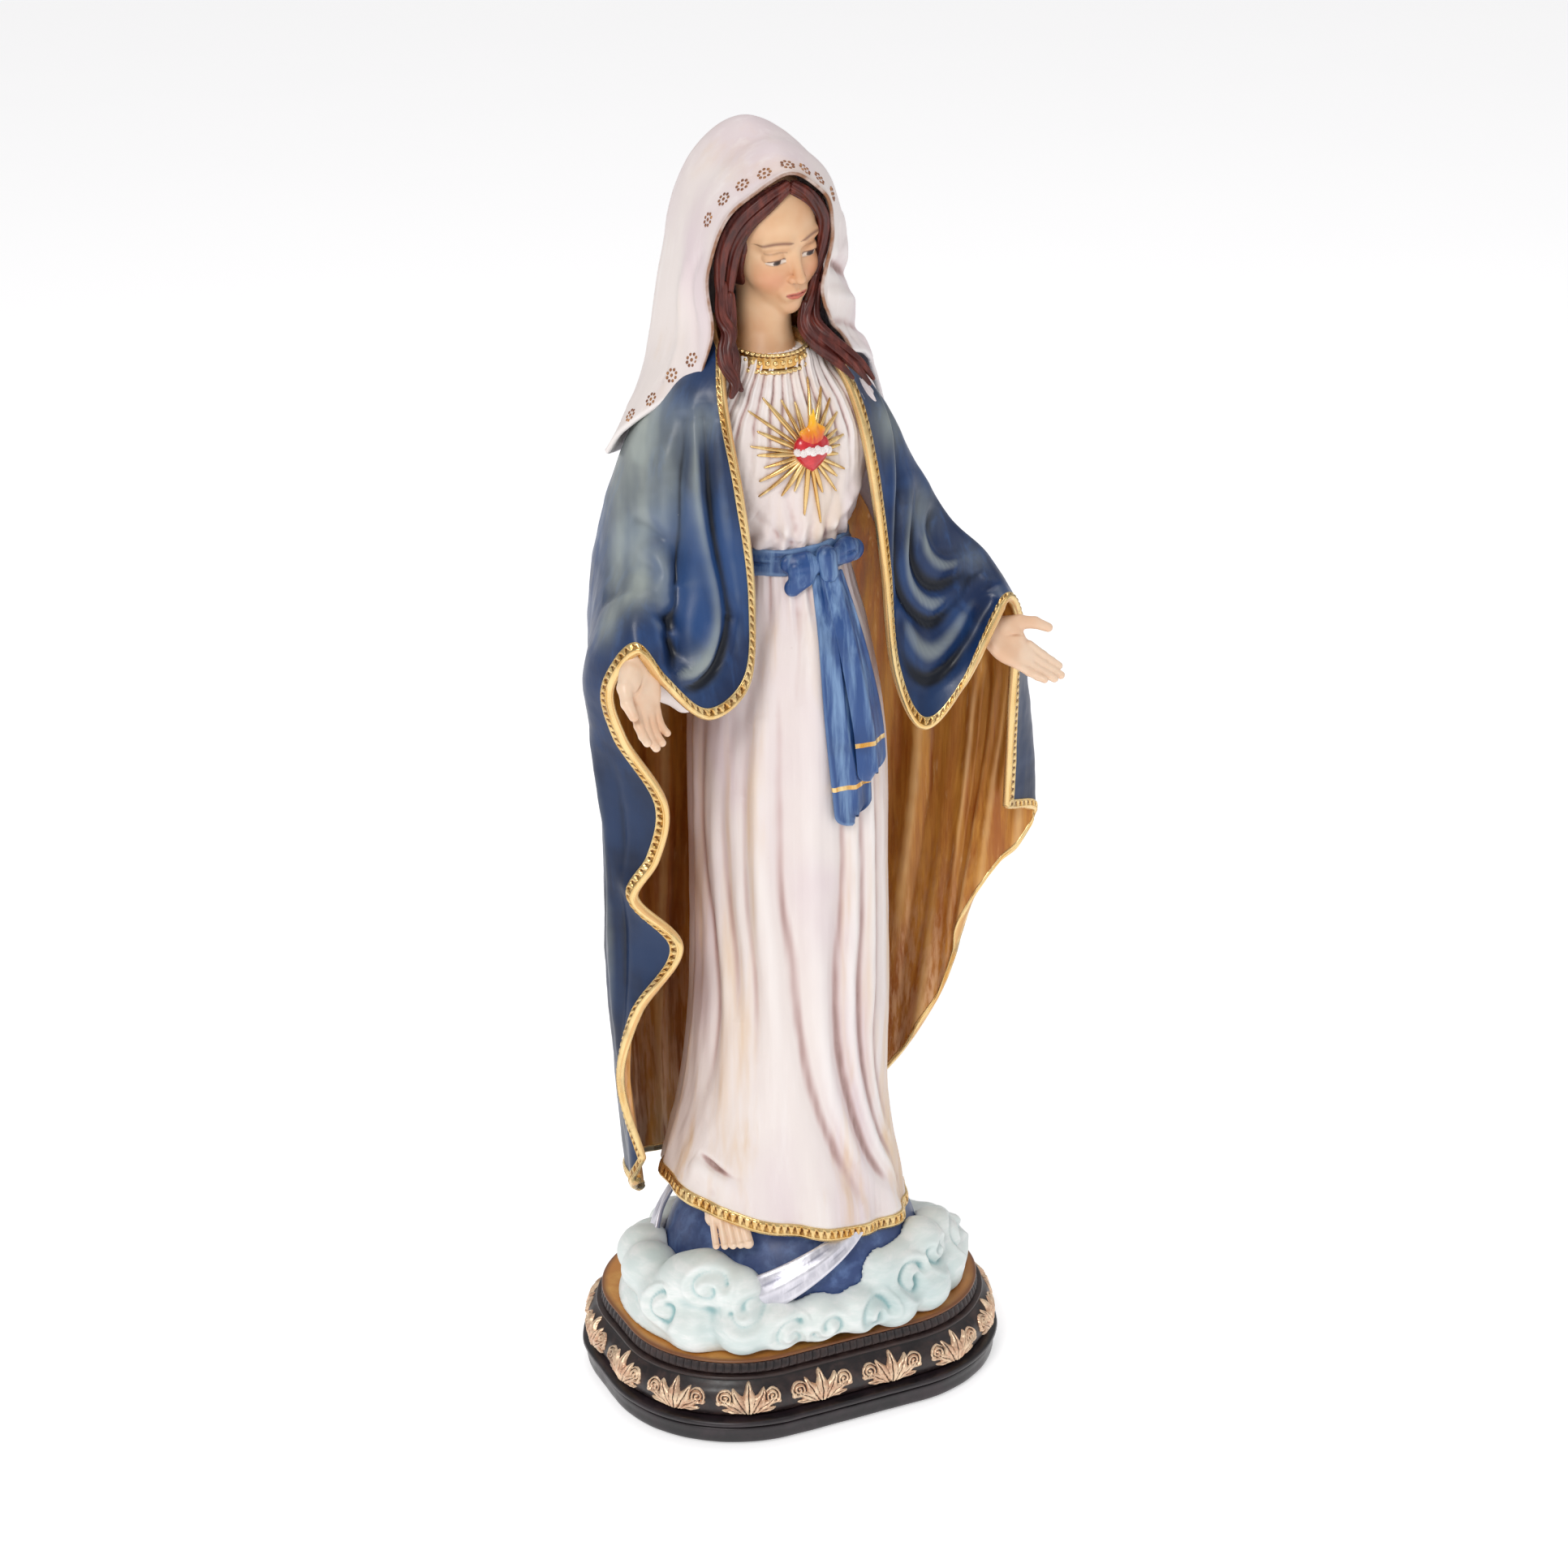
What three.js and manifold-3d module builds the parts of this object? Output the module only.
// Painted resin Madonna statue on an oval-cornered plinth, as separate castings and applied pieces.
// Millimetres, +Z up, the figure faces -Y, the origin is at the middle of the underside.
import * as THREE from "three";
import { mergeVertices } from "three/addons/utils/BufferGeometryUtils.js";
import Module from "manifold-3d";

const wasm = await Module();
wasm.setup();

// ---------------------------------------------------------------- driving dimensions

const GAP = 0.35; // left between pieces that touch
const MERGE_DISTANCE = 1e-3; // vertices closer than this are one vertex
const PLINTH_WIDTH = 194;
const PLINTH_DEPTH = 153;
const PLINTH_CORNER = 64;
const FELT_TOP = 0.8;
const FOOT_TOP = 14;
const FRIEZE_TOP = 33.4;
const FLUTED_TOP = 38.6;
const PLATE_TOP = 40.6;
const ORNAMENT_COUNT = 16;
const ORNAMENT_HEIGHT = 24; // height of the ornaments' middle
const ORNAMENT_THICKNESS = 1.6;
const TIE_ROD_RADIUS = 3;
const TIE_ROD_TOP = 96;
const NUT_RECESS_TOP = 9;
const NUT_HEIGHT = 4;
const DOWEL_RADIUS = 3;
const DOWEL_SPACING = 84;

const GLOBE_CENTRE = new THREE.Vector3(0, -4, 52);
const GLOBE_RADIUS = 63;
const GLOBE_FLOOR = 62; // the globe is cast as a dome that stops here
const MOON_RADIUS = 70; // from the globe's centre to the crescent's face
const MOON_WIDTH = 17;
const MOON_THICKNESS = 4.5;
const CLOUD_FLOOR = PLATE_TOP + GAP;

const WAIST = 418;
const BELT_HEIGHT = 13;
const NECK_BASE = 506;
const MANTLE_THICKNESS = 3;
const MANTLE_RIB_STEPS = 22;
const MANTLE_FALL_STEPS = 24;
const VEIL_THICKNESS = 2.6;
const TRIM_WIDTH = 5;
const TRIM_THICKNESS = 1.1;
const TRIM_PROUD = 0.6; // how far a gold edge stands out from the cloth on each side
const HEAD_CENTRE = new THREE.Vector3(-7, -13, 558);
const HEAD_TURN = THREE.MathUtils.degToRad(9); // towards the statue's left
const HEAD_BOW = THREE.MathUtils.degToRad(14); // forwards
const HEAD_LEAN = THREE.MathUtils.degToRad(-7); // crown towards the statue's right
const HEART_CENTRE = { x: -4, z: 469 };
const RAY_COUNT = 22;

// ---------------------------------------------------------------- helpers

const { degToRad } = THREE.MathUtils;
const V = (x, y, z) => new THREE.Vector3(x, y, z);

// Moves every vertex of a geometry to map(vertex).
function deform(geometry, map) {
  const position = geometry.getAttribute("position");
  const p = new THREE.Vector3();
  for (let i = 0; i < position.count; i++) {
    const q = map(p.fromBufferAttribute(position, i));
    position.setXYZ(i, q.x, q.y, q.z);
  }
  return geometry;
}

// A closed geometry as a manifold-3d solid that faces outwards, also where a deformation mirrored it.
function solid(geometry) {
  const bare = geometry.clone();
  bare.deleteAttribute("normal");
  bare.deleteAttribute("uv");
  const merged = mergeVertices(bare, MERGE_DISTANCE);
  const meshed = (triangles) =>
    new wasm.Manifold(
      new wasm.Mesh({
        numProp: 3,
        vertProperties: merged.getAttribute("position").array,
        triVerts: new Uint32Array(triangles),
      }),
    );
  const made = meshed(merged.index.array);
  return made.volume() < 0 ? meshed([...merged.index.array].reverse()) : made;
}

function geometryOf(made) {
  const mesh = made.getMesh();
  const geometry = new THREE.BufferGeometry();
  geometry.setAttribute("position", new THREE.BufferAttribute(mesh.vertProperties, 3));
  geometry.setIndex(new THREE.BufferAttribute(mesh.triVerts, 1));
  return geometry;
}

// The solid with every face moved out by `distance`: each vertex moves to where its moved faces meet.
function grown(made, distance) {
  const geometry = geometryOf(made);
  const position = geometry.getAttribute("position");
  const corners = geometry.index.array;
  const facings = Array.from({ length: position.count }, () => []);
  const face = new THREE.Triangle();
  for (let i = 0; i < corners.length; i += 3) {
    face.setFromAttributeAndIndices(position, corners[i], corners[i + 1], corners[i + 2]);
    const facing = face.getNormal(V());
    for (const corner of corners.subarray(i, i + 3)) facings[corner].push(facing);
  }
  facings.forEach((normals, i) => {
    const move = meetingPoint(normals).multiplyScalar(distance);
    const moved = V().fromBufferAttribute(position, i).add(move.clampLength(0, 3 * distance));
    position.setXYZ(i, moved.x, moved.y, moved.z);
  });
  return solid(geometry);
}

// The vector whose dot product with every one of the normals is nearest to 1, by least squares.
function meetingPoint(normals) {
  const product = (a, b) => normals.reduce((sum, n) => sum + n[a] * n[b], 0);
  const soft = 0.02 * normals.length;
  const [xx, yy, zz] = [product("x", "x") + soft, product("y", "y") + soft, product("z", "z") + soft];
  const [xy, xz, yz] = [product("x", "y"), product("x", "z"), product("y", "z")];
  const system = new THREE.Matrix3().set(xx, xy, xz, xy, yy, yz, xz, yz, zz);
  const total = normals.reduce((sum, n) => sum.add(n), V());
  return total.applyMatrix3(system.invert());
}

function largest(made) {
  const bodies = made.decompose();
  return bodies.reduce((best, body) => (body.volume() > best.volume() ? body : best));
}

const joined = (solids) => solids.reduce((sum, next) => sum.add(next));

// A straight column whose outline at height fraction t and angle a is point(a, t).
// Angle 0 faces -Y and 90 degrees faces +X.
function column(around, up, point, middle) {
  const geometry = new THREE.CylinderGeometry(1, 1, 1, around, up);
  return deform(geometry, (p) => {
    const t = p.y + 0.5;
    if (Math.hypot(p.x, p.z) < 0.5) return middle(t);
    return point(Math.atan2(p.x, p.z), t);
  });
}

// A sheet along surface(u, v), reaching from `near` to `far` along the normal du x dv.
function sheet(surface, nu, nv, near, far) {
  const step = 1e-3;
  const geometry = new THREE.BoxGeometry(1, 1, 1, nu, nv, 1);
  return deform(geometry, (p) => {
    const u = THREE.MathUtils.clamp(p.x + 0.5, step, 1 - step);
    const v = THREE.MathUtils.clamp(p.y + 0.5, step, 1 - step);
    const along = surface(u + step, v).sub(surface(u - step, v));
    const down = surface(u, v + step).sub(surface(u, v - step));
    const normal = along.cross(down).normalize();
    return surface(p.x + 0.5, p.y + 0.5).addScaledVector(normal, near + (far - near) * (p.z + 0.5));
  });
}

// A rounded limb along a curve: radii are [fraction, half width, half height] stations, its ends are domed.
function limb(points, radii, around = 8, along = 5, side = V(1, 0, 0)) {
  const curve = new THREE.CatmullRomCurve3(points);
  const size = stations(radii);
  const geometry = new THREE.CapsuleGeometry(1, along, 2, around, along);
  return deform(geometry, (p) => {
    const t = THREE.MathUtils.clamp(p.y / along + 0.5, 0, 1);
    const past = p.y - THREE.MathUtils.clamp(p.y, -along / 2, along / 2);
    const tangent = curve.getTangent(t);
    const across = side.clone().addScaledVector(tangent, -side.dot(tangent)).normalize();
    const upward = new THREE.Vector3().crossVectors(tangent, across);
    const [wide, high] = size(t);
    return curve
      .getPoint(t)
      .addScaledVector(across, -p.x * wide)
      .addScaledVector(upward, p.z * high)
      .addScaledVector(tangent, past * Math.min(wide, high));
  });
}

// Smooth values through [position, value, value...] stations.
function stations(table) {
  const last = table.length - 1;
  const width = table[0].length - 1;
  return (at) => {
    let i = 0;
    while (i < last - 1 && at > table[i + 1][0]) i++;
    const part = THREE.MathUtils.clamp((at - table[i][0]) / (table[i + 1][0] - table[i][0]), 0, 1);
    const row = (k) => table[THREE.MathUtils.clamp(k, 0, last)];
    return Array.from({ length: width }, (_, c) => {
      const [p0, p1, p2, p3] = [row(i - 1)[c + 1], row(i)[c + 1], row(i + 1)[c + 1], row(i + 2)[c + 1]];
      const h0 = row(i)[0] - row(i - 1)[0] || 1;
      const h1 = row(i + 1)[0] - row(i)[0];
      const h2 = row(i + 2)[0] - row(i + 1)[0] || 1;
      const m1 = i === 0 ? (p2 - p1) / h1 : ((p1 - p0) / h0 + (p2 - p1) / h1) / 2;
      const m2 = i === last - 1 ? (p2 - p1) / h1 : ((p2 - p1) / h1 + (p3 - p2) / h2) / 2;
      const s = part * part * (3 - 2 * part);
      const bend = part * (1 - part) * h1;
      return p1 + (p2 - p1) * s + bend * ((1 - part) * m1 - part * m2);
    });
  };
}

// A surface through ribs of [v, x, y, z] stations, the ribs being evenly spaced in u.
function ribbedSurface(ribs) {
  const curves = ribs.map(stations);
  return (u, v) => {
    const across = new THREE.CatmullRomCurve3(curves.map((rib) => V(...rib(v))));
    return across.getPoint(u);
  };
}

// ---------------------------------------------------------------- materials

function paint(colour, roughness, metalness = 0) {
  return new THREE.MeshStandardMaterial({ color: colour, roughness, metalness });
}
const FELT = paint(0x1d2a22, 0.95);
const BLACK_PAINT = paint(0x1f191c, 0.4);
const BROWN_PAINT = paint(0x4a3026, 0.5);
const TAN_PAINT = paint(0xb5834a, 0.45);
const WORN_GOLD = paint(0xc9a08a, 0.4, 0.6);
const GOLD = paint(0xc9963f, 0.35, 0.8);
const STEEL = paint(0x9a9da0, 0.35, 1);
const BEECH = paint(0xcaa578, 0.7);
const CLOUD_PAINT = paint(0xd3e2e0, 0.45);
const GLOBE_PAINT = paint(0x4a5f86, 0.45);
const SILVER = paint(0xc9cbd2, 0.35, 0.7);
const SKIN = paint(0xe0b292, 0.45);
const ROBE_PAINT = paint(0xe6d5d2, 0.5);
const HAIR_PAINT = paint(0x5a2a20, 0.5);
const MANTLE_PAINT = paint(0x33506f, 0.4);
const SASH_PAINT = paint(0x3f62a0, 0.45);
const HEART_RED = paint(0xa81020, 0.25);
const FLAME_PAINT = paint(0xe8902a, 0.35);
const ROSE_WHITE = paint(0xf0ece8, 0.45);

// ---------------------------------------------------------------- placing

const statue = new THREE.Group();
const placed = [];

// Cuts a solid clear of everything placed before it, keeps its main body and adds it as a named mesh.
function place(name, made, material) {
  let clear = made;
  for (const other of placed) {
    if (clear.intersect(other.room).volume() > 0) clear = clear.subtract(other.room);
  }
  clear = largest(solid(geometryOf(largest(clear))));
  placed.push({ name, room: grown(clear, 0.9 * GAP) });
  const mesh = new THREE.Mesh(geometryOf(clear), material);
  mesh.name = name;
  statue.add(mesh);
  return clear;
}

// ---------------------------------------------------------------- plinth

function roundedRectangle(width, depth, radius) {
  const x = width / 2 - radius;
  const y = depth / 2 - radius;
  const path = new THREE.Shape();
  path.moveTo(0, -depth / 2);
  path.absarc(x, -y, radius, -Math.PI / 2, 0, false);
  path.absarc(x, y, radius, 0, Math.PI / 2, false);
  path.absarc(-x, y, radius, Math.PI / 2, Math.PI, false);
  path.absarc(-x, -y, radius, Math.PI, 1.5 * Math.PI, false);
  path.closePath();
  return path;
}

// The plinth's outline brought in (or out) by `inset` all round.
const plinthOutline = (inset) =>
  roundedRectangle(PLINTH_WIDTH - 2 * inset, PLINTH_DEPTH - 2 * inset, PLINTH_CORNER - inset);

// A moulding from [height, inset] steps, with the tie rod's bore through it.
function moulding(profile) {
  const around = 32;
  const rings = profile.map(([, inset]) => plinthOutline(inset).getSpacedPoints(around));
  const up = profile.length - 1;
  const body = column(
    around,
    up,
    (angle, t) => {
      const k = Math.round(t * up);
      const i = Math.round(((angle / (2 * Math.PI) + 1) % 1) * around) % around;
      return V(rings[k][i].x, rings[k][i].y, profile[k][0]);
    },
    (t) => V(0, 0, profile[Math.round(t * up)][0]),
  );
  return solid(body);
}

function upright(radius, bottom, top, x = 0, y = 0, sides = 12) {
  const pin = new THREE.CylinderGeometry(radius, radius, top - bottom, sides);
  pin.rotateX(Math.PI / 2);
  pin.translate(x, y, (top + bottom) / 2);
  return solid(pin);
}

// The rod, washer and nut that hold the figure down, and the two dowels that keep it from turning.
place("tie_rod", upright(TIE_ROD_RADIUS, FELT_TOP + 1, TIE_ROD_TOP, 0, 0, 12), STEEL);
place("tie_washer", upright(8, NUT_RECESS_TOP - 1.6, NUT_RECESS_TOP - GAP), STEEL);
place("tie_nut", upright(5.8, NUT_RECESS_TOP - 2 - NUT_HEIGHT, NUT_RECESS_TOP - 2, 0, 0, 6), STEEL);
for (const [side, sign] of [["right", -1], ["left", 1]]) {
  const dowel = upright(DOWEL_RADIUS, PLATE_TOP - 16, PLATE_TOP + 14, (sign * DOWEL_SPACING) / 2, 0, 12);
  place(`locating_dowel_${side}`, dowel, BEECH);
}

const recess = upright(11, 0, NUT_RECESS_TOP);
place("felt_pad", moulding([[0, 4], [FELT_TOP, 4]]), FELT);
const footProfile = [[FELT_TOP + GAP, 0.4], [9.4, -0.2], [10.8, -2], [12.6, -2.2], [FOOT_TOP, -0.4]];
place("plinth_foot", moulding(footProfile).subtract(recess), BLACK_PAINT);
const friezeProfile = [[FOOT_TOP + GAP, 3], [17, 1.2], [22, 0.6], [27, 2.2], [31, 6.2], [FRIEZE_TOP, 6.6]];
place("plinth_frieze", moulding(friezeProfile), BROWN_PAINT);
place("plinth_fluted_band", moulding([[FRIEZE_TOP + GAP, 8], [FLUTED_TOP, 9.4]]), BROWN_PAINT);
place("plinth_top_plate", moulding([[FLUTED_TOP + GAP, 8], [PLATE_TOP, 9]]), TAN_PAINT);

// A palmette: a middle leaf between two pairs of curling side leaves, on its own curved back.
function palmetteOutline() {
  const half = [
    [0, 7.2], [2.4, 4.6], [3.4, 5.8], [5.4, 3.6], [4.8, 1.6], [8.6, 2.8], [9.4, 0.2], [6.6, -1.8],
    [3.4, -3.6], [2, -7],
  ];
  const shape = new THREE.Shape();
  shape.moveTo(...half[0]);
  for (const [x, z] of half.slice(1)) shape.lineTo(x, z);
  for (const [x, z] of half.slice(1).reverse()) shape.lineTo(-x, z);
  shape.closePath();
  return shape;
}

// The ornament bends round the frieze: x runs along its outline, y up its profile and z out of its face.
const friezeInset = stations(friezeProfile);
function acanthusOrnament(fraction) {
  const path = plinthOutline(0);
  const form = { depth: ORNAMENT_THICKNESS, bevelEnabled: false };
  const leaf = new THREE.ExtrudeGeometry(palmetteOutline(), form);
  deform(leaf, (p) => {
    const along = fraction + p.x / path.getLength();
    const at = path.getPointAt(along);
    const tangent = path.getTangentAt(along);
    const height = ORNAMENT_HEIGHT + p.y;
    const out = p.z + 2 * GAP - friezeInset(height)[0];
    return V(at.x + tangent.y * out, at.y - tangent.x * out, height);
  });
  return solid(leaf);
}
for (let i = 0; i < ORNAMENT_COUNT; i++) {
  const name = `acanthus_ornament_${String(i + 1).padStart(2, "0")}`;
  place(name, acanthusOrnament((i + 0.5) / ORNAMENT_COUNT), WORN_GOLD);
}

// ---------------------------------------------------------------- globe, moon and foot

function onGlobe(azimuth, elevation, radius) {
  const a = degToRad(azimuth);
  const e = degToRad(elevation);
  return V(Math.sin(a) * Math.cos(e), -Math.cos(a) * Math.cos(e), Math.sin(e))
    .multiplyScalar(radius)
    .add(GLOBE_CENTRE);
}

function globe() {
  const ball = new THREE.SphereGeometry(GLOBE_RADIUS, 20, 12);
  ball.rotateX(Math.PI / 2);
  ball.translate(...GLOBE_CENTRE);
  const below = new THREE.BoxGeometry(200, 200, 100);
  below.translate(0, 0, GLOBE_FLOOR - 50);
  return solid(ball).subtract(solid(below));
}
place("globe", globe(), GLOBE_PAINT);

// The crescent hugs the globe: a blade from horn to horn, widest in the middle, with a ridge along it.
const moonPath = stations([
  [0, -127, 33], [0.14, -121, 14], [0.3, -104, 2], [0.45, -80, -2], [0.6, -55, 5], [0.72, -35, 15],
  [0.86, -9, 28], [1, 19, 40],
]);
function crescentMoon() {
  const blade = (u, v) => {
    const [azimuth, elevation] = moonPath(v);
    const half = (0.08 + 0.92 * Math.sin(Math.PI * v) ** 0.8) * (MOON_WIDTH / 2);
    const here = onGlobe(azimuth, elevation, MOON_RADIUS);
    const [nextAzimuth, nextElevation] = moonPath(Math.min(v + 0.01, 1));
    const [lastAzimuth, lastElevation] = moonPath(Math.max(v - 0.01, 0));
    const along = onGlobe(nextAzimuth, nextElevation, MOON_RADIUS)
      .sub(onGlobe(lastAzimuth, lastElevation, MOON_RADIUS))
      .normalize();
    const out = here.clone().sub(GLOBE_CENTRE).normalize();
    const across = new THREE.Vector3().crossVectors(along, out);
    const ridge = 1.6 * (1 - Math.abs(2 * u - 1));
    return here.addScaledVector(across, (2 * u - 1) * half).addScaledVector(out, ridge);
  };
  return solid(sheet(blade, 2, 18, -MOON_THICKNESS, 0));
}
place("crescent_moon", crescentMoon(), SILVER);

function bareFoot() {
  const instep = [V(-38, -8, 116), V(-46, -26, 110), V(-51, -36, 101)];
  const sole = limb(instep, [[0, 8, 8], [0.6, 8.5, 7], [1, 8, 5]]);
  const toes = [0, 1, 2, 3, 4].map((i) => {
    const x = -58 + i * 3.6;
    const reach = [0, 1.6, 2.6, 3.4, 4][i];
    const thick = [1.9, 1.9, 2, 2.2, 2.9][i];
    const joints = [V(x + 4, -33 - i, 108), V(x + 1, -39 - reach, 101.5), V(x, -42 - reach, 97.5)];
    return solid(limb(joints, [[0, thick, thick], [1, thick, thick]], 6, 2));
  });
  return joined([solid(sole), ...toes]);
}
place("bare_foot", bareFoot(), SKIN);

// ---------------------------------------------------------------- head, hair and veil

const headPose = new THREE.Matrix4().compose(
  HEAD_CENTRE,
  new THREE.Quaternion().setFromEuler(new THREE.Euler(HEAD_BOW, HEAD_LEAN, HEAD_TURN, "ZYX")),
  V(1, 1, 1),
);

// An egg-shaped head of plain proportions with a small straight nose, on a round neck.
function head() {
  const skull = new THREE.SphereGeometry(1, 18, 12);
  skull.rotateX(Math.PI / 2);
  deform(skull, (p) => {
    const taper = p.z < 0 ? 1 - 0.28 * p.z * p.z : 1;
    const jaw = p.z < 0 ? -13 * p.z * p.z : 0;
    return V(p.x * 20.5 * taper, p.y * (p.y < 0 ? 25 : 22) * (1 - 0.3 * p.z * p.z) + jaw, p.z * 30);
  });
  const nose = new THREE.ConeGeometry(3.4, 14, 6);
  nose.scale(0.8, 1, 1);
  nose.rotateX(degToRad(76));
  nose.rotateX(degToRad(-90));
  nose.translate(0, -24.5, -5);
  const face = joined([skull, nose].map((part) => solid(part.applyMatrix4(headPose))));
  const nape = [V(-8, -10, 545), V(-9, -15, 520), V(-10, -16, 500)];
  const neck = limb(nape, [[0, 11, 12], [0.6, 11, 12], [1, 15, 14]]);
  return face.add(solid(neck));
}
place("head", head(), SKIN);

// Parted hair: a cap that frames the face and a long lock falling at each side.
function hair() {
  const cap = new THREE.SphereGeometry(1, 12, 8);
  cap.rotateX(Math.PI / 2);
  cap.scale(25, 26, 32.5);
  cap.translate(0, 4, 1);
  cap.applyMatrix4(headPose);
  const face = new THREE.SphereGeometry(1, 12, 8);
  face.scale(19.5, 24, 29);
  face.translate(0, -20, -6);
  face.applyMatrix4(headPose);
  const rightLock = [V(-28, -20, 562), V(-32, -27, 535), V(-29, -31, 515), V(-35, -38, 499)];
  const leftLock = [V(12, -20, 562), V(11, -29, 538), V(15, -33, 513), V(29, -42, 488)];
  const lock = (points) => solid(limb(points, [[0, 5, 7], [0.5, 5, 6], [0.8, 4, 4], [1, 1.5, 1.5]], 6, 6));
  return solid(cap).subtract(solid(face)).add(lock(rightLock)).add(lock(leftLock));
}
place("hair", hair(), HAIR_PAINT);

// The veil's ribs run from its front edge back to its hem.
// They follow each other from the statue's right shoulder over the crown to its left shoulder.
const veilSurface = ribbedSurface([
  [[0, -46, -27, 500], [0.33, -59, -13, 489], [0.66, -70, 4, 475], [1, -74, 14, 463]],
  [[0, -42, -31, 522], [0.33, -47, -9, 513], [0.66, -52, 20, 497], [1, -57, 36, 457]],
  [[0, -43, -31, 549], [0.33, -44, -5, 541], [0.66, -41, 28, 538], [1, -38, 45, 455]],
  [[0, -33, -37, 574], [0.33, -34, -8, 578], [0.66, -27, 31, 574], [1, -20, 51, 451]],
  [[0, -10, -41, 588], [0.33, -7, -12, 601], [0.66, -4, 31, 589], [1, -3, 53, 447]],
  [[0, 9, -37, 579], [0.33, 19, -10, 588], [0.66, 19, 28, 575], [1, 14, 51, 451]],
  [[0, 19, -32, 560], [0.33, 31, -10, 560], [0.66, 33, 24, 542], [1, 32, 45, 456]],
  [[0, 18, -32, 532], [0.33, 33, -12, 526], [0.66, 41, 18, 505], [1, 50, 32, 461]],
  [[0, 26, -30, 505], [0.33, 40, -16, 500], [0.66, 51, -1, 486], [1, 59, 8, 468]],
]);
place("veil", solid(sheet(veilSurface, 18, 10, -VEIL_THICKNESS, 0)), ROBE_PAINT);

// ---------------------------------------------------------------- hands and their wrist pins

function pin(from, to, radius) {
  const rod = new THREE.CylinderGeometry(radius, radius, from.distanceTo(to), 10);
  const turn = new THREE.Quaternion().setFromUnitVectors(V(0, 1, 0), to.clone().sub(from).normalize());
  rod.applyQuaternion(turn);
  rod.translate(...from.clone().lerp(to, 0.5));
  return solid(rod);
}
place("wrist_pin_right", pin(V(-88, -43, 396), V(-91.5, -63, 380), 1.5), STEEL);
place("wrist_pin_left", pin(V(76, -40, 377), V(96, -51, 361), 1.5), STEEL);

// A hand built round its own axes: fingers along -Z, palm towards -Y, thumb on the side of `sign`.
function hand(sign, pose) {
  const palm = limb([V(0, 0, 4), V(0, 0, -10), V(0, -1, -22)], [[0, 6.5, 5], [0.5, 9, 5], [1, 9, 3.5]], 8, 3);
  const fingers = [-1.5, -0.5, 0.5, 1.5].map((row) => {
    const x = row * 4.4;
    const length = 20 - Math.abs(row - 0.3 * sign) * 3;
    const joints = [V(x, -1, -20), V(x, -3, -20 - length * 0.5), V(x, -6, -20 - length)];
    return limb(joints, [[0, 2.4, 2.6], [1, 1.8, 1.8]], 6, 2);
  });
  const thumb = limb(
    [V(sign * 6, -1, -4), V(sign * 12, -4, -12), V(sign * 14, -6, -22)],
    [[0, 3.4, 4], [0.5, 3, 3], [1, 1.9, 1.9]],
    6,
    3,
  );
  return joined([palm, thumb, ...fingers].map((part) => solid(part.applyMatrix4(pose))));
}

// The pose that carries the hand's own axes to a wrist point, a finger direction and a palm direction.
function handPose(wrist, fingers, palm) {
  const down = fingers.clone().normalize();
  const front = palm.clone().addScaledVector(down, -palm.dot(down)).normalize();
  const back = front.clone().negate();
  const up = down.clone().negate();
  const side = new THREE.Vector3().crossVectors(back, up);
  return new THREE.Matrix4().makeBasis(side, back, up).setPosition(wrist);
}
const rightHandPose = handPose(V(-90.5, -56, 391), V(-4, -22, -40), V(0.3, -1, 0.25));
const leftHandPose = handPose(V(87, -46, 371), V(30, -14, -27), V(-0.25, -0.8, 0.75));
place("hand_right", hand(-1, rightHandPose), SKIN);
place("hand_left", hand(1, leftHandPose), SKIN);

// ---------------------------------------------------------------- mantle

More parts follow.
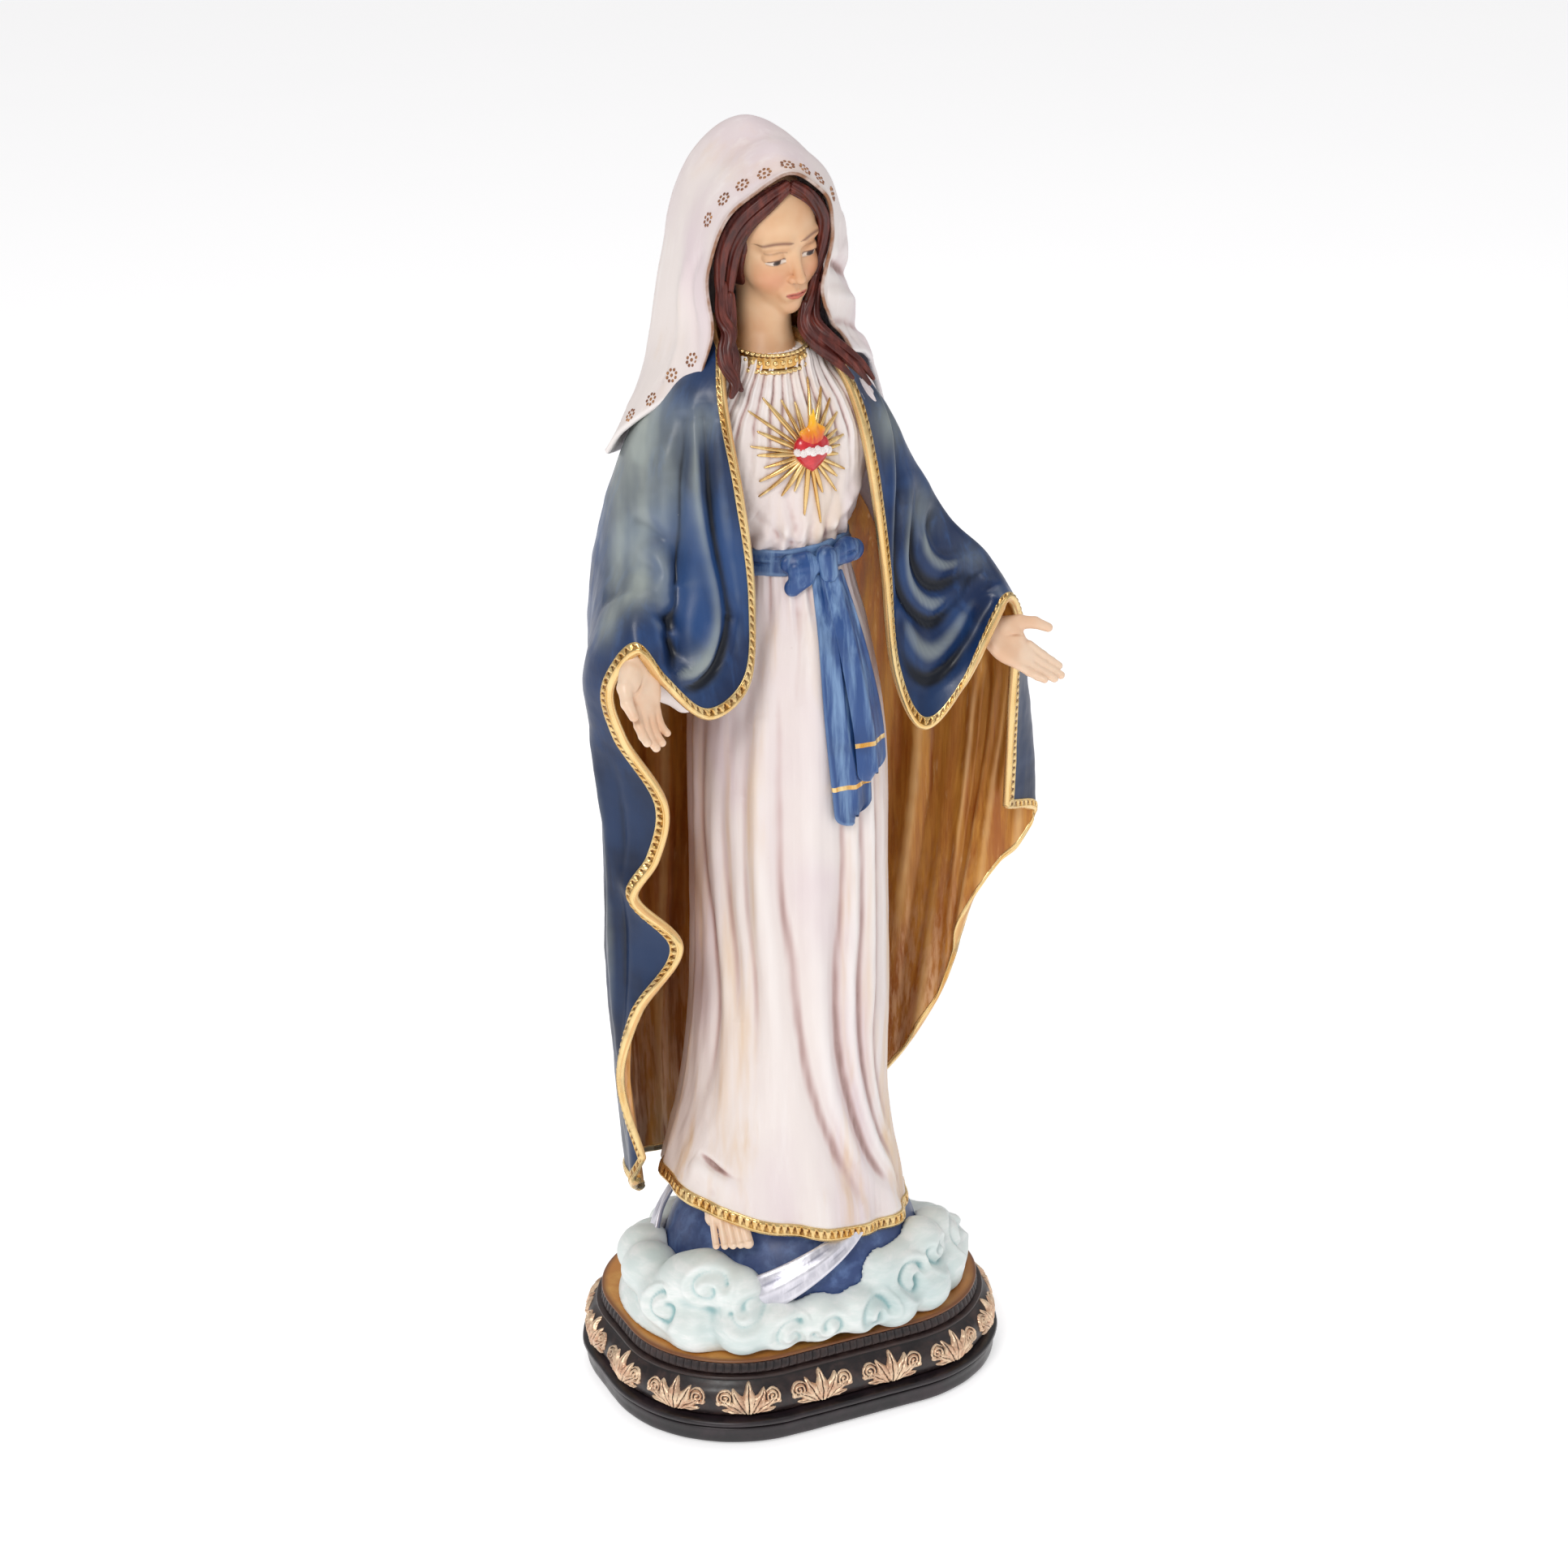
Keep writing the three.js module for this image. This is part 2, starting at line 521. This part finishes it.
// The mantle's ribs run from the neck down to the hem.
// They follow each other from its right front edge round the back to its left front edge.
const mantleSurface = ribbedSurface([
  [
    [0, -38, -31, 511], [0.06, -41, -42, 490], [0.14, -37, -49, 452], [0.23, -34, -53, 404],
    [0.28, -40, -59, 372], [0.33, -60, -62, 362], [0.38, -79, -62, 383], [0.42, -92, -60, 402],
    [0.47, -101, -48, 380], [0.53, -94, -42, 350], [0.6, -76, -45, 315], [0.65, -80, -42, 290],
    [0.69, -90, -38, 272], [0.75, -72, -47, 248], [0.82, -89, -36, 216], [0.89, -96, -28, 182],
    [1, -84, -25, 124],
  ],
  [
    [0, -36, -20, 516], [0.08, -52, -30, 496], [0.16, -62, -36, 468], [0.25, -66, -42, 438],
    [0.33, -74, -48, 418], [0.42, -93, -44, 408], [0.47, -104, -30, 381], [0.55, -100, -24, 345],
    [0.65, -94, -22, 300], [0.8, -93, -20, 215], [1, -86, -14, 110],
  ],
  [
    [0, -30, -4, 518], [0.08, -49, -6, 499], [0.16, -66, -3, 474], [0.25, -77, -3, 446], [0.33, -84, -4, 421],
    [0.42, -90, -6, 400], [0.47, -92, -5, 383], [0.55, -88, 1, 350], [0.65, -82, 8, 300], [0.8, -83, 10, 210],
    [1, -76, 8, 103],
  ],
  [
    [0, -22, 11, 518], [0.16, -49, 27, 472], [0.33, -66, 33, 418], [0.47, -70, 37, 372], [0.65, -66, 43, 290],
    [0.8, -63, 49, 200], [1, -56, 51, 96],
  ],
  [
    [0, -3, 20, 518], [0.16, -3, 41, 468], [0.33, -2, 47, 412], [0.47, 0, 51, 365], [0.65, 0, 57, 285],
    [0.8, 2, 62, 195], [1, 4, 64, 90],
  ],
  [
    [0, 15, 12, 516], [0.16, 39, 29, 470], [0.33, 60, 36, 415], [0.47, 72, 40, 368], [0.65, 74, 42, 290],
    [0.8, 66, 42, 205], [1, 53, 38, 106],
  ],
  [
    [0, 21, 2, 513], [0.08, 34, 4, 498], [0.16, 50, 7, 477], [0.25, 63, 9, 448], [0.33, 78, 10, 418],
    [0.42, 96, 12, 392], [0.47, 103, 14, 371], [0.55, 106, 16, 340], [0.65, 104, 18, 300], [0.8, 98, 18, 240],
    [1, 86, 12, 162],
  ],
  [
    [0, 22, -8, 512], [0.08, 35, -10, 496], [0.16, 49, -12, 475], [0.25, 62, -12, 446],
    [0.33, 77, -16, 417], [0.42, 99, -16, 395], [0.47, 110, -10, 374], [0.55, 118, -2, 343],
    [0.65, 118, 2, 313], [0.8, 113, 4, 275], [1, 103, 1, 222],
  ],
  [
    [0, 21, -17, 510], [0.08, 34, -22, 491], [0.16, 46, -26, 469], [0.25, 58, -28, 440],
    [0.33, 72, -32, 413], [0.42, 96, -34, 394], [0.47, 110, -25, 373], [0.55, 121, -13, 341],
    [0.65, 126, -9, 315], [0.8, 129, -7, 292], [1, 131, -5, 259],
  ],
  [
    [0, 17, -30, 506], [0.06, 23, -37, 489], [0.14, 28, -43, 460], [0.23, 33, -47, 408],
    [0.28, 35, -52, 362], [0.33, 45, -58, 337], [0.38, 64, -58, 352], [0.42, 88, -51, 386],
    [0.47, 104, -39, 375], [0.53, 107, -30, 346], [0.65, 108, -25, 316], [0.8, 109, -21, 292],
    [1, 109, -19, 272],
  ],
]);

// The fraction of the surface that `width` millimetres take up at its right edge, left edge and hem.
const rightShare = (v, width) => (0.02 * width) / mantleSurface(0, v).distanceTo(mantleSurface(0.02, v));
const leftShare = (v, width) => (0.02 * width) / mantleSurface(1, v).distanceTo(mantleSurface(0.98, v));
const hemShare = (u, width) => (0.02 * width) / mantleSurface(u, 1).distanceTo(mantleSurface(u, 0.98));

// The mantle's cloth stops short of its three gold edges, which are thicker bands that continue it.
function mantleCloth(u, v) {
  const inner = TRIM_WIDTH + GAP;
  const fall = v * (1 - hemShare(u, inner));
  return mantleSurface(THREE.MathUtils.lerp(rightShare(fall, inner), 1 - leftShare(fall, inner), u), fall);
}
const rightBand = (u, v) => mantleSurface(u * rightShare(v, TRIM_WIDTH), v);
const leftBand = (u, v) => mantleSurface(1 - (1 - u) * leftShare(v, TRIM_WIDTH), v);
function hemBand(u, v) {
  const along = THREE.MathUtils.lerp(rightShare(1, TRIM_WIDTH + GAP), 1 - leftShare(1, TRIM_WIDTH + GAP), u);
  return mantleSurface(along, 1 - (1 - v) * hemShare(along, TRIM_WIDTH));
}
const mantleEdge = (band, nu, nv) => solid(sheet(band, nu, nv, -MANTLE_THICKNESS - TRIM_PROUD, TRIM_PROUD));
const cloth = sheet(mantleCloth, MANTLE_RIB_STEPS, MANTLE_FALL_STEPS, -MANTLE_THICKNESS, 0);
place("mantle", solid(cloth), MANTLE_PAINT);
place("mantle_trim_right", mantleEdge(rightBand, 1, MANTLE_FALL_STEPS), GOLD);
place("mantle_trim_left", mantleEdge(leftBand, 1, MANTLE_FALL_STEPS), GOLD);
place("mantle_hem_trim", mantleEdge(hemBand, MANTLE_RIB_STEPS, 1), GOLD);

// ---------------------------------------------------------------- robe

const robeSection = stations([
  [84, -9, -12, 62, 51], [104, -9, -12, 59, 50], [122, -8, -11, 55, 49], [150, -5, -10, 49, 48],
  [200, -1, -10, 46, 47], [250, 0, -10, 45, 46], [330, 0, -10, 44, 45], [380, -2, -10, 38, 41],
  [405, -3, -10, 32, 36], [WAIST, -3, -10, 29, 33],
]);
const hemHeight = (angle) => 97 - 15 * Math.sin(angle + 0.25);

function robePoint(angle, z, proud = 0) {
  const [x, y, wide, deep] = robeSection(z);
  return V(x + (wide + proud) * Math.sin(angle), y - (deep + proud) * Math.cos(angle), z);
}

// The robe's front surface at a place seen from the front.
function robeFront(x, z, proud) {
  const [centre, , wide] = robeSection(z);
  return robePoint(Math.asin(THREE.MathUtils.clamp((x - centre) / wide, -0.98, 0.98)), z, proud);
}

function skirt() {
  const body = column(
    26,
    7,
    (angle, t) => robePoint(angle, THREE.MathUtils.lerp(hemHeight(angle), WAIST, t)),
    (t) => V(-6 + 3 * t, -11, THREE.MathUtils.lerp(98, WAIST, t)),
  );
  return solid(body);
}
place("robe_skirt", skirt(), ROBE_PAINT);

function hemTrim() {
  const band = (u, v) => {
    const angle = THREE.MathUtils.lerp(degToRad(-105), degToRad(85), u);
    return robePoint(angle, hemHeight(angle) + 0.6 + v * TRIM_WIDTH);
  };
  return solid(sheet(band, 19, 1, 2 * GAP, 2 * GAP + TRIM_THICKNESS));
}
place("robe_hem_trim", hemTrim(), GOLD);

const bodiceSection = stations([
  [WAIST + GAP, -3, -10, 29, 33], [428, -3, -11, 31, 34], [445, -3, -11, 38, 35], [470, -4, -10, 48, 35],
  [488, -6, -9, 47, 31], [500, -9, -11, 30, 24], [NECK_BASE, -10, -15, 22, 19],
]);

function bodicePoint(angle, z, proud = 0) {
  const [x, y, wide, deep] = bodiceSection(z);
  return V(x + (wide + proud) * Math.sin(angle), y - (deep + proud) * Math.cos(angle), z);
}

function bodiceFront(x, z, proud) {
  const [centre, , wide] = bodiceSection(z);
  return bodicePoint(Math.asin(THREE.MathUtils.clamp((x - centre) / wide, -0.98, 0.98)), z, proud);
}

function bodice() {
  const height = (t) => THREE.MathUtils.lerp(WAIST + GAP, NECK_BASE, t);
  const body = column(
    22,
    6,
    (angle, t) => bodicePoint(angle, height(t)),
    (t) => V(-3 - 7 * t, -10, height(t)),
  );
  return solid(body);
}
place("robe_bodice", bodice(), ROBE_PAINT);

// The upper sleeve hangs inside the mantle and its wide cuff opens round the wrist.
function sleeve(points, cuff) {
  const arm = limb(points, [[0, 12, 13], [0.4, 12, 12], [0.75, 12, 11], [1, 11, 10]], 8, 5);
  const fall = limb(cuff, [[0, 10, 9], [0.6, 10, 8], [1, 6, 4]], 8, 3);
  return solid(arm).add(solid(fall));
}
const rightArm = [V(-56, 0, 456), V(-68, -6, 424), V(-74, -20, 405), V(-86, -46, 394)];
const rightCuff = [V(-80, -38, 388), V(-72, -42, 372), V(-62, -42, 361)];
place("robe_sleeve_right", sleeve(rightArm, rightCuff), ROBE_PAINT);
const leftArm = [V(42, 0, 458), V(60, -4, 426), V(72, -16, 400), V(82, -40, 378)];
const leftCuff = [V(72, -38, 368), V(62, -42, 352), V(52, -43, 341)];
place("robe_sleeve_left", sleeve(leftArm, leftCuff), ROBE_PAINT);

function collar() {
  const ring = new THREE.TorusGeometry(1, 0.16, 6, 24);
  deform(ring, (p) => V(p.x * 20, p.y * 18.5, p.z * 26));
  ring.rotateX(degToRad(9));
  ring.translate(-10, -17, 507.5);
  return solid(ring);
}
place("collar_trim", collar(), GOLD);

// ---------------------------------------------------------------- belt and bow

function belt() {
  const ring = new THREE.TorusGeometry(1, 0.1, 5, 28);
  deform(ring, (p) => {
    const angle = Math.atan2(p.x, -p.y);
    const proud = 0.6 + (Math.hypot(p.x, p.y) - 0.9) * 22;
    const z = WAIST + (p.z * BELT_HEIGHT) / 0.2;
    return V(-3 + (29 + proud) * Math.sin(angle), -10 - (33 + proud) * Math.cos(angle), z);
  });
  return solid(ring);
}
place("belt", belt(), SASH_PAINT);

const BOW_CENTRE = V(3, -49.5, 417);
function bowKnot() {
  const knot = new THREE.SphereGeometry(1, 10, 8);
  knot.scale(4.6, 4.4, 6.2);
  knot.translate(...BOW_CENTRE);
  return solid(knot);
}
place("bow_knot", bowKnot(), SASH_PAINT);

// A loop of ribbon: a flattened ring that tapers towards the knot.
function bowLoop(sign) {
  const ring = new THREE.TorusGeometry(1, 0.34, 6, 14);
  deform(ring, (p) => {
    const away = (p.x + 1.34) / 2.68;
    return V(sign * (3.5 + away * 15), p.z * (3 + 3 * away), p.y * (2.6 + 4.6 * away));
  });
  ring.rotateY(degToRad(sign * 8));
  ring.translate(BOW_CENTRE.x, BOW_CENTRE.y + 2, BOW_CENTRE.z);
  return solid(ring);
}
place("bow_loop_right", bowLoop(-1), SASH_PAINT);
place("bow_loop_left", bowLoop(1), SASH_PAINT);

// A tail of the sash from [height, middle x, half width] stations, lying on the skirt.
function sashTail(table, lift) {
  const [top, bottom] = [table[0][0], table[table.length - 1][0]];
  const shape = stations([...table].reverse());
  const strip = (u, v) => {
    const z = THREE.MathUtils.lerp(bottom, top, v);
    const [x, half] = shape(z);
    return robeFront(x + (2 * u - 1) * half, z, lift + 0.9 * Math.cos(4 * Math.PI * (u - 0.5)));
  };
  return solid(sheet(strip, 3, 9, 0, 2.6));
}
const shortTail = [[411, 5, 4.5], [395, 8, 5.5], [360, 14, 7], [340, 17, 7.5], [322, 18.5, 7]];
const longTail = [[411, 2, 4.5], [395, 3.5, 6], [350, 6, 8], [320, 9.5, 9.5], [304, 11, 8.5]];
place("sash_tail_short", sashTail(shortTail, 4.8), SASH_PAINT);
place("sash_tail_long", sashTail(longTail, 1), SASH_PAINT);

// ---------------------------------------------------------------- heart

function heartShape(size) {
  const shape = new THREE.Shape();
  shape.moveTo(0, -size);
  shape.bezierCurveTo(-0.5 * size, -0.55 * size, -size, -0.1 * size, -size, 0.35 * size);
  shape.bezierCurveTo(-size, 0.9 * size, -0.25 * size, size, 0, 0.55 * size);
  shape.bezierCurveTo(0.25 * size, size, size, 0.9 * size, size, 0.35 * size);
  shape.bezierCurveTo(size, -0.1 * size, 0.5 * size, -0.55 * size, 0, -size);
  return shape;
}

// Stands a shape drawn in XY up on the chest, facing forwards.
function onChest(geometry, x, z, proud) {
  const at = bodiceFront(x, z, proud);
  geometry.rotateX(Math.PI / 2 + degToRad(3));
  geometry.translate(at.x, at.y, at.z);
  return solid(geometry);
}

const heartForm = { depth: 2.4, bevelThickness: 1.8, bevelSize: 1.6, bevelSegments: 2, curveSegments: 4 };
function sacredHeart() {
  const shape = new THREE.ExtrudeGeometry(heartShape(6.6), heartForm);
  return onChest(shape, HEART_CENTRE.x, HEART_CENTRE.z - 1.5, 4.4);
}
place("sacred_heart", sacredHeart(), HEART_RED);

function rayBurst() {
  const disc = new THREE.CylinderGeometry(8.5, 8.5, 1.6, 16);
  disc.rotateX(Math.PI / 2);
  const parts = [onChest(disc, HEART_CENTRE.x, HEART_CENTRE.z, 1.4)];
  for (let i = 0; i < RAY_COUNT; i++) {
    const angle = (2 * Math.PI * i) / RAY_COUNT;
    const length = [27, 18, 23, 16][i % 4] + (Math.sin(angle) < -0.8 ? 6 : 0);
    const ray = new THREE.BoxGeometry(1, 1, 1);
    deform(ray, (p) => {
      const reach = 7.6 + (p.y + 0.5) * (length - 7.6);
      const half = THREE.MathUtils.lerp(1.3, 0.5, p.y + 0.5);
      const x = HEART_CENTRE.x + reach * Math.cos(angle) + p.x * 2 * half * Math.sin(angle);
      const z = HEART_CENTRE.z + reach * Math.sin(angle) - p.x * 2 * half * Math.cos(angle);
      return bodiceFront(x, z, GAP + 1.2 - p.z * 1.5);
    });
    parts.push(solid(ray));
  }
  return joined(parts);
}
place("ray_burst", rayBurst(), GOLD);

function roseGarland() {
  const band = Array.from({ length: 6 }, (_, i) => {
    const rose = new THREE.SphereGeometry(1.9, 8, 5);
    const x = HEART_CENTRE.x - 7.5 + i * 3;
    const at = bodiceFront(x, HEART_CENTRE.z + 3.4 - 0.05 * (i - 2.5) ** 2, 9.6);
    rose.translate(at.x, at.y - 0.9 + 0.12 * (i - 2.5) ** 2, at.z);
    return solid(rose);
  });
  return joined(band);
}
place("rose_garland", roseGarland(), ROSE_WHITE);

function flame() {
  const shape = new THREE.Shape();
  shape.moveTo(0, 11);
  shape.quadraticCurveTo(2, 6, 5, 4);
  shape.quadraticCurveTo(5.5, -2, 0, -3.5);
  shape.quadraticCurveTo(-5.5, -2, -5, 4);
  shape.quadraticCurveTo(-3, 6, 0, 11);
  const form = { depth: 1.6, bevelThickness: 0.9, bevelSize: 0.8, bevelSegments: 1, curveSegments: 4 };
  const tongue = new THREE.ExtrudeGeometry(shape, form);
  return onChest(tongue, HEART_CENTRE.x, HEART_CENTRE.z + 11.6, 4.2);
}
place("heart_flame", flame(), FLAME_PAINT);

// ---------------------------------------------------------------- cloud

// Billows round the globe: a low core and rings of lumps, cut flat where they stand on the plate.
function cloud() {
  const lump = (x, y, z, radius, flat = 0.85) => {
    const ball = new THREE.SphereGeometry(radius, 8, 6);
    ball.rotateX(Math.PI / 2);
    ball.scale(1, 1, flat);
    ball.translate(x, y, z);
    return solid(ball);
  };
  const core = new THREE.CylinderGeometry(60, 68, 32, 20);
  core.rotateX(Math.PI / 2);
  core.scale(1, 0.82, 1);
  core.translate(-1, -4, CLOUD_FLOOR + 15);
  const lumps = [
    lump(-60, -26, 58, 23), lump(-36, -46, 59, 21), lump(-8, -50, 52, 18), lump(20, -50, 52, 18),
    lump(48, -34, 59, 22), lump(61, 2, 60, 23), lump(-64, 8, 60, 22), lump(-46, 38, 58, 23),
    lump(-8, 46, 55, 23), lump(34, 38, 57, 23),
  ];
  const below = new THREE.BoxGeometry(260, 260, 60);
  below.translate(0, 0, CLOUD_FLOOR - 30);
  return joined([solid(core), ...lumps]).subtract(solid(below));
}
place("cloud_base", cloud(), CLOUD_PAINT);

export default statue;
